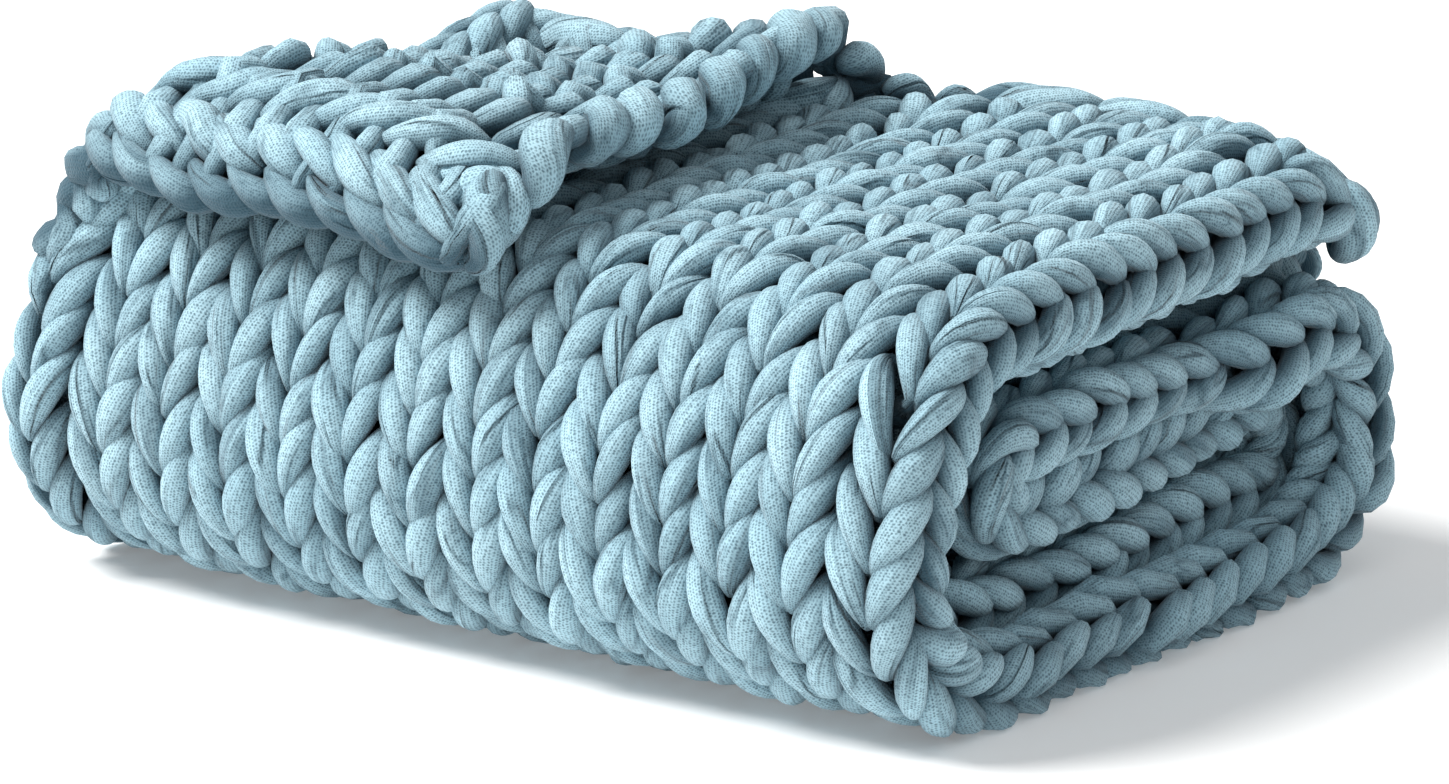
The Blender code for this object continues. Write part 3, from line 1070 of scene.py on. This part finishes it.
def yarn_material():
    """Jersey tube yarn: fine knit, pleats that run along the yarn, a soft fuzz, and painted shade
    in its holes, along its pleats' lips and far within the cloth.
    """
    material, shader = new_material("blue_knit_yarn", YARN_SURFACE)
    n = Nodes(material)
    uv = n.uv_map("yarn")
    deep = n.add("SeparateXYZ", {0: n.uv_map("deep")})["X"]
    coords = n.add("TexCoord", {})["Object"]
    holes = jersey_holes(n, uv)
    (wide, wide_shade_line), (fine, fine_shade_line) = (pleats(n, uv, *row[:-1]) for row in PLEATS)

    tone = patches(n, n.noise(coords, *TONE_NOISE), *TONE_PATCHES)
    base = n.mix(tone, MAIN_YARN, LIGHT_YARN)
    # Painted shade: the holes, the pleats' lips and the yarn far within the cloth are darkened
    # towards the shade colour
    line = n.math("MAXIMUM", wide_shade_line, fine_shade_line)
    within_shade = n.math("MULTIPLY", deep, WITHIN_SHADE_GAIN, clamp=True)
    for where, share in ((holes, HOLE_SHADE_DARK), (line, PLEAT_SHADE_DARK), (within_shade, WITHIN_SHADE_DARK)):
        base = n.mix(n.math("MULTIPLY", where, share), base, PAINTED_SHADE_COLOUR)

    normal = {}
    for height, depth in (
        (n.noise(uv, LUMPS_SCALE), LUMPS_DEPTH),
        (wide, PLEATS[0][-1]),
        (fine, PLEATS[1][-1]),
        (n.math("SUBTRACT", 1.0, holes), HOLE_DEPTH),
        (n.noise(uv, FUZZ_SCALE, rough=FUZZ_ROUGHNESS), FUZZ_DEPTH),
    ):
        normal = n.bump(height, depth, normal)
    n.tree.links.new(base, shader.inputs["Base Color"])
    n.tree.links.new(normal["Normal"], shader.inputs["Normal"])
    return material


# ---------------- the blanket

# The control points where a row starts and ends
FIRST_POINT = 1
LAST_POINT = ROW_WALES * POINTS_A_WALE - 1
# Rows nearer to the free end than this start at a later point, and thinner, because the turned
# corner's edge has legs of its own
FLAP_ROWS_TO = 0.480
FLAP_ROWS_START = POINTS_A_WALE + 3
TAPER = (0.30, 0.50, 0.70, 0.85)
# The parts of a row inside the pack: the point where each ends, how it is split, and how many
# points go round its yarn
HIDDEN_ROW = [
    (3 * POINTS_A_WALE, PLAIN, 10),
    ((ROW_WALES - 3) * POINTS_A_WALE, HIDDEN, 5),
    (LAST_POINT, FINE, 12),
]
# How far along the path the pieces at the free end and before the second layer reach
FLAP_END_LENGTH = 0.24
INNER_END_LENGTH = 0.10
# How many points go round the yarn of the chains and the knot, and of the turned corner's edge
CHAIN_AROUND = 16
SELVEDGE_AROUND = 14


def add_hidden_rows(knit, rows):
    start = FIRST_POINT
    for end, samples, around in HIDDEN_ROW:
        knit.add(along_strand(rows, start, end, samples), around)
        start = end


def add_rows(knit, rows, turned, samples, around, front):
    for chosen, start in ((rows[~turned], FIRST_POINT), (rows[turned], FLAP_ROWS_START)):
        if len(chosen):
            strand = along_strand(chosen, start, LAST_POINT, samples)
            if start == FLAP_ROWS_START:
                strand[:, : len(TAPER), 3:] *= np.array(TAPER)[:, None]
            knit.add(strand, around, front)


def make_rows(material):
    """The rows of stitches, in pieces by their place along the path. Returns the triangles."""
    strands = add_unevenness(stitch_controls()).reshape(COURSES, -1, ROW_VALUES)
    course_d = course_distances()
    edges = np.array(PATH.ends) - END_MARGIN
    flap_end = edges[0] + FLAP_END_LENGTH
    front_middle = (edges[1] + edges[2]) / 2
    inner_middle = (edges[4] + edges[10]) / 2
    inner_end = edges[10] + INNER_END_LENGTH
    pieces = [
        # name             from          to          samples around front
        ("knit_flap_end", edges[0], flap_end, BOTH, 12, 0.0),
        ("knit_top", flap_end, edges[1], BOTH, 12, 0.0),
        ("knit_front_upper", edges[1], front_middle, FINE, 14, 0.35),
        ("knit_front_lower", front_middle, edges[2], FINE, 14, 0.35),
        ("knit_base", edges[2], edges[3], ROUGH, 10, 0.2),
        ("knit_back", edges[3], edges[4], PLAIN, 12, 0.3),
        ("knit_inner_a", edges[4], inner_middle, None, 0, 0.0),
        ("knit_inner_b", inner_middle, inner_end, None, 0, 0.0),
        ("knit_under_top", inner_end, math.inf, FINE, 12, 0.0),
    ]
    triangles = 0
    for name, start, end, samples, around, front in pieces:
        inside = (course_d >= start) & (course_d < end)
        knit = Knit(name)
        if samples is None:
            add_hidden_rows(knit, strands[inside])
        else:
            turned = course_d[inside] < FLAP_ROWS_TO
            add_rows(knit, strands[inside], turned, samples, around, front)
        triangles += knit.make(material)
    return triangles


def make_chains(material):
    """The chained ends, the knot and the turned corner's edge. Returns the triangles."""
    chains = Knit("knit_chains")
    for row in CHAINS:
        links, rim = chain_strands(*row)
        chains.add(whole_strand(links), CHAIN_AROUND, rim=rim)
    for rows in KNOT_STRANDS:
        chains.add_tubes(*knot_tubes(rows, CHAIN_AROUND))
    for rows in SELVEDGE_LEGS:
        chains.add(whole_strand(selvedge_legs(rows)), SELVEDGE_AROUND, rim=PURL_SIDE)
    return chains.make(material)


def make_blanket(material):
    triangles = make_rows(material) + make_chains(material)
    print("triangles in all:", triangles)


# ---------------- floor, light, camera

# The photo's viewing angle, and the camera's place: how far back from a point near the pack's
# front right corner, to the left of it and above it
AZIMUTH = math.radians(36.2)
ELEVATION = math.radians(16.2)
REFERENCE = Vector((0.324, -0.1902, 0.0))
DISTANCE = 5.5
LEFT_OFFSET = 0.1254
UP_OFFSET = 0.1951
LENS_MM = 250.0
SENSOR_MM = 36.0
CLIP_START = 0.1
CLIP_END = 60.0
FLOOR_HALF = 30.0
FLOOR_SURFACE = {
    "Base Color": (0.86, 0.86, 0.86, 1.0),
    "Roughness": 0.9,
    "Specular IOR Level": 0.1,
    "Emission Color": (1.0, 1.0, 1.0, 1.0),
    "Emission Strength": 0.19,
}
LIGHTS = [
    # name   comes from            power  degrees across  colour
    ("key", (-0.52, -0.37, 0.77), 5.4, 30.0, (1.0, 0.99, 0.97)),
    ("fill", (0.50, -0.20, 0.84), 0.60, 60.0, (0.96, 0.98, 1.0)),
]
LAMP_DISTANCE = 3.0
SKY_COLOUR = (0.97, 0.985, 1.0, 1.0)
SKY_STRENGTH = 0.30


def make_camera():
    sin_across, cos_across = math.sin(AZIMUTH), math.cos(AZIMUTH)
    sin_up, cos_up = math.sin(ELEVATION), math.cos(ELEVATION)
    right = Vector((cos_across, sin_across, 0.0))
    up = Vector((-sin_across * sin_up, cos_across * sin_up, cos_up))
    back = right.cross(up)
    data = bpy.data.cameras.new("camera")
    data.sensor_width = SENSOR_MM
    data.lens = LENS_MM
    data.clip_start = CLIP_START
    data.clip_end = CLIP_END
    camera = put("camera", data)
    place = REFERENCE + back * DISTANCE - right * LEFT_OFFSET + up * UP_OFFSET
    turn = Matrix((right, up, back)).transposed().to_4x4()
    camera.matrix_world = Matrix.Translation(place) @ turn
    bpy.context.scene.camera = camera


def make_floor():
    half = FLOOR_HALF
    mesh = bpy.data.meshes.new("floor")
    corners = [(-half, -half, 0.0), (half, -half, 0.0), (half, half, 0.0), (-half, half, 0.0)]
    mesh.from_pydata(corners, [], [(0, 1, 2, 3)])
    material, _ = new_material("floor_white", FLOOR_SURFACE)
    mesh.materials.append(material)
    floor = put("floor", mesh)


def make_lights():
    for name, comes_from, power, across, colour in LIGHTS:
        data = bpy.data.lights.new(name, "SUN")
        data.angle = math.radians(across)
        data.energy = power
        data.color = colour
        lamp = put(name, data)
        lamp.location = Vector(comes_from) * LAMP_DISTANCE
        lamp.rotation_mode = "QUATERNION"
        lamp.rotation_quaternion = (-Vector(comes_from)).to_track_quat("-Z", "Y")
    world = bpy.data.worlds.new("studio")
    world.use_nodes = True
    background = world.node_tree.nodes["Background"]
    background.inputs["Color"].default_value = SKY_COLOUR
    background.inputs["Strength"].default_value = SKY_STRENGTH
    bpy.context.scene.world = world
    bpy.context.scene.view_settings.view_transform = "Standard"


make_camera()
make_blanket(yarn_material())
make_floor()
make_lights()
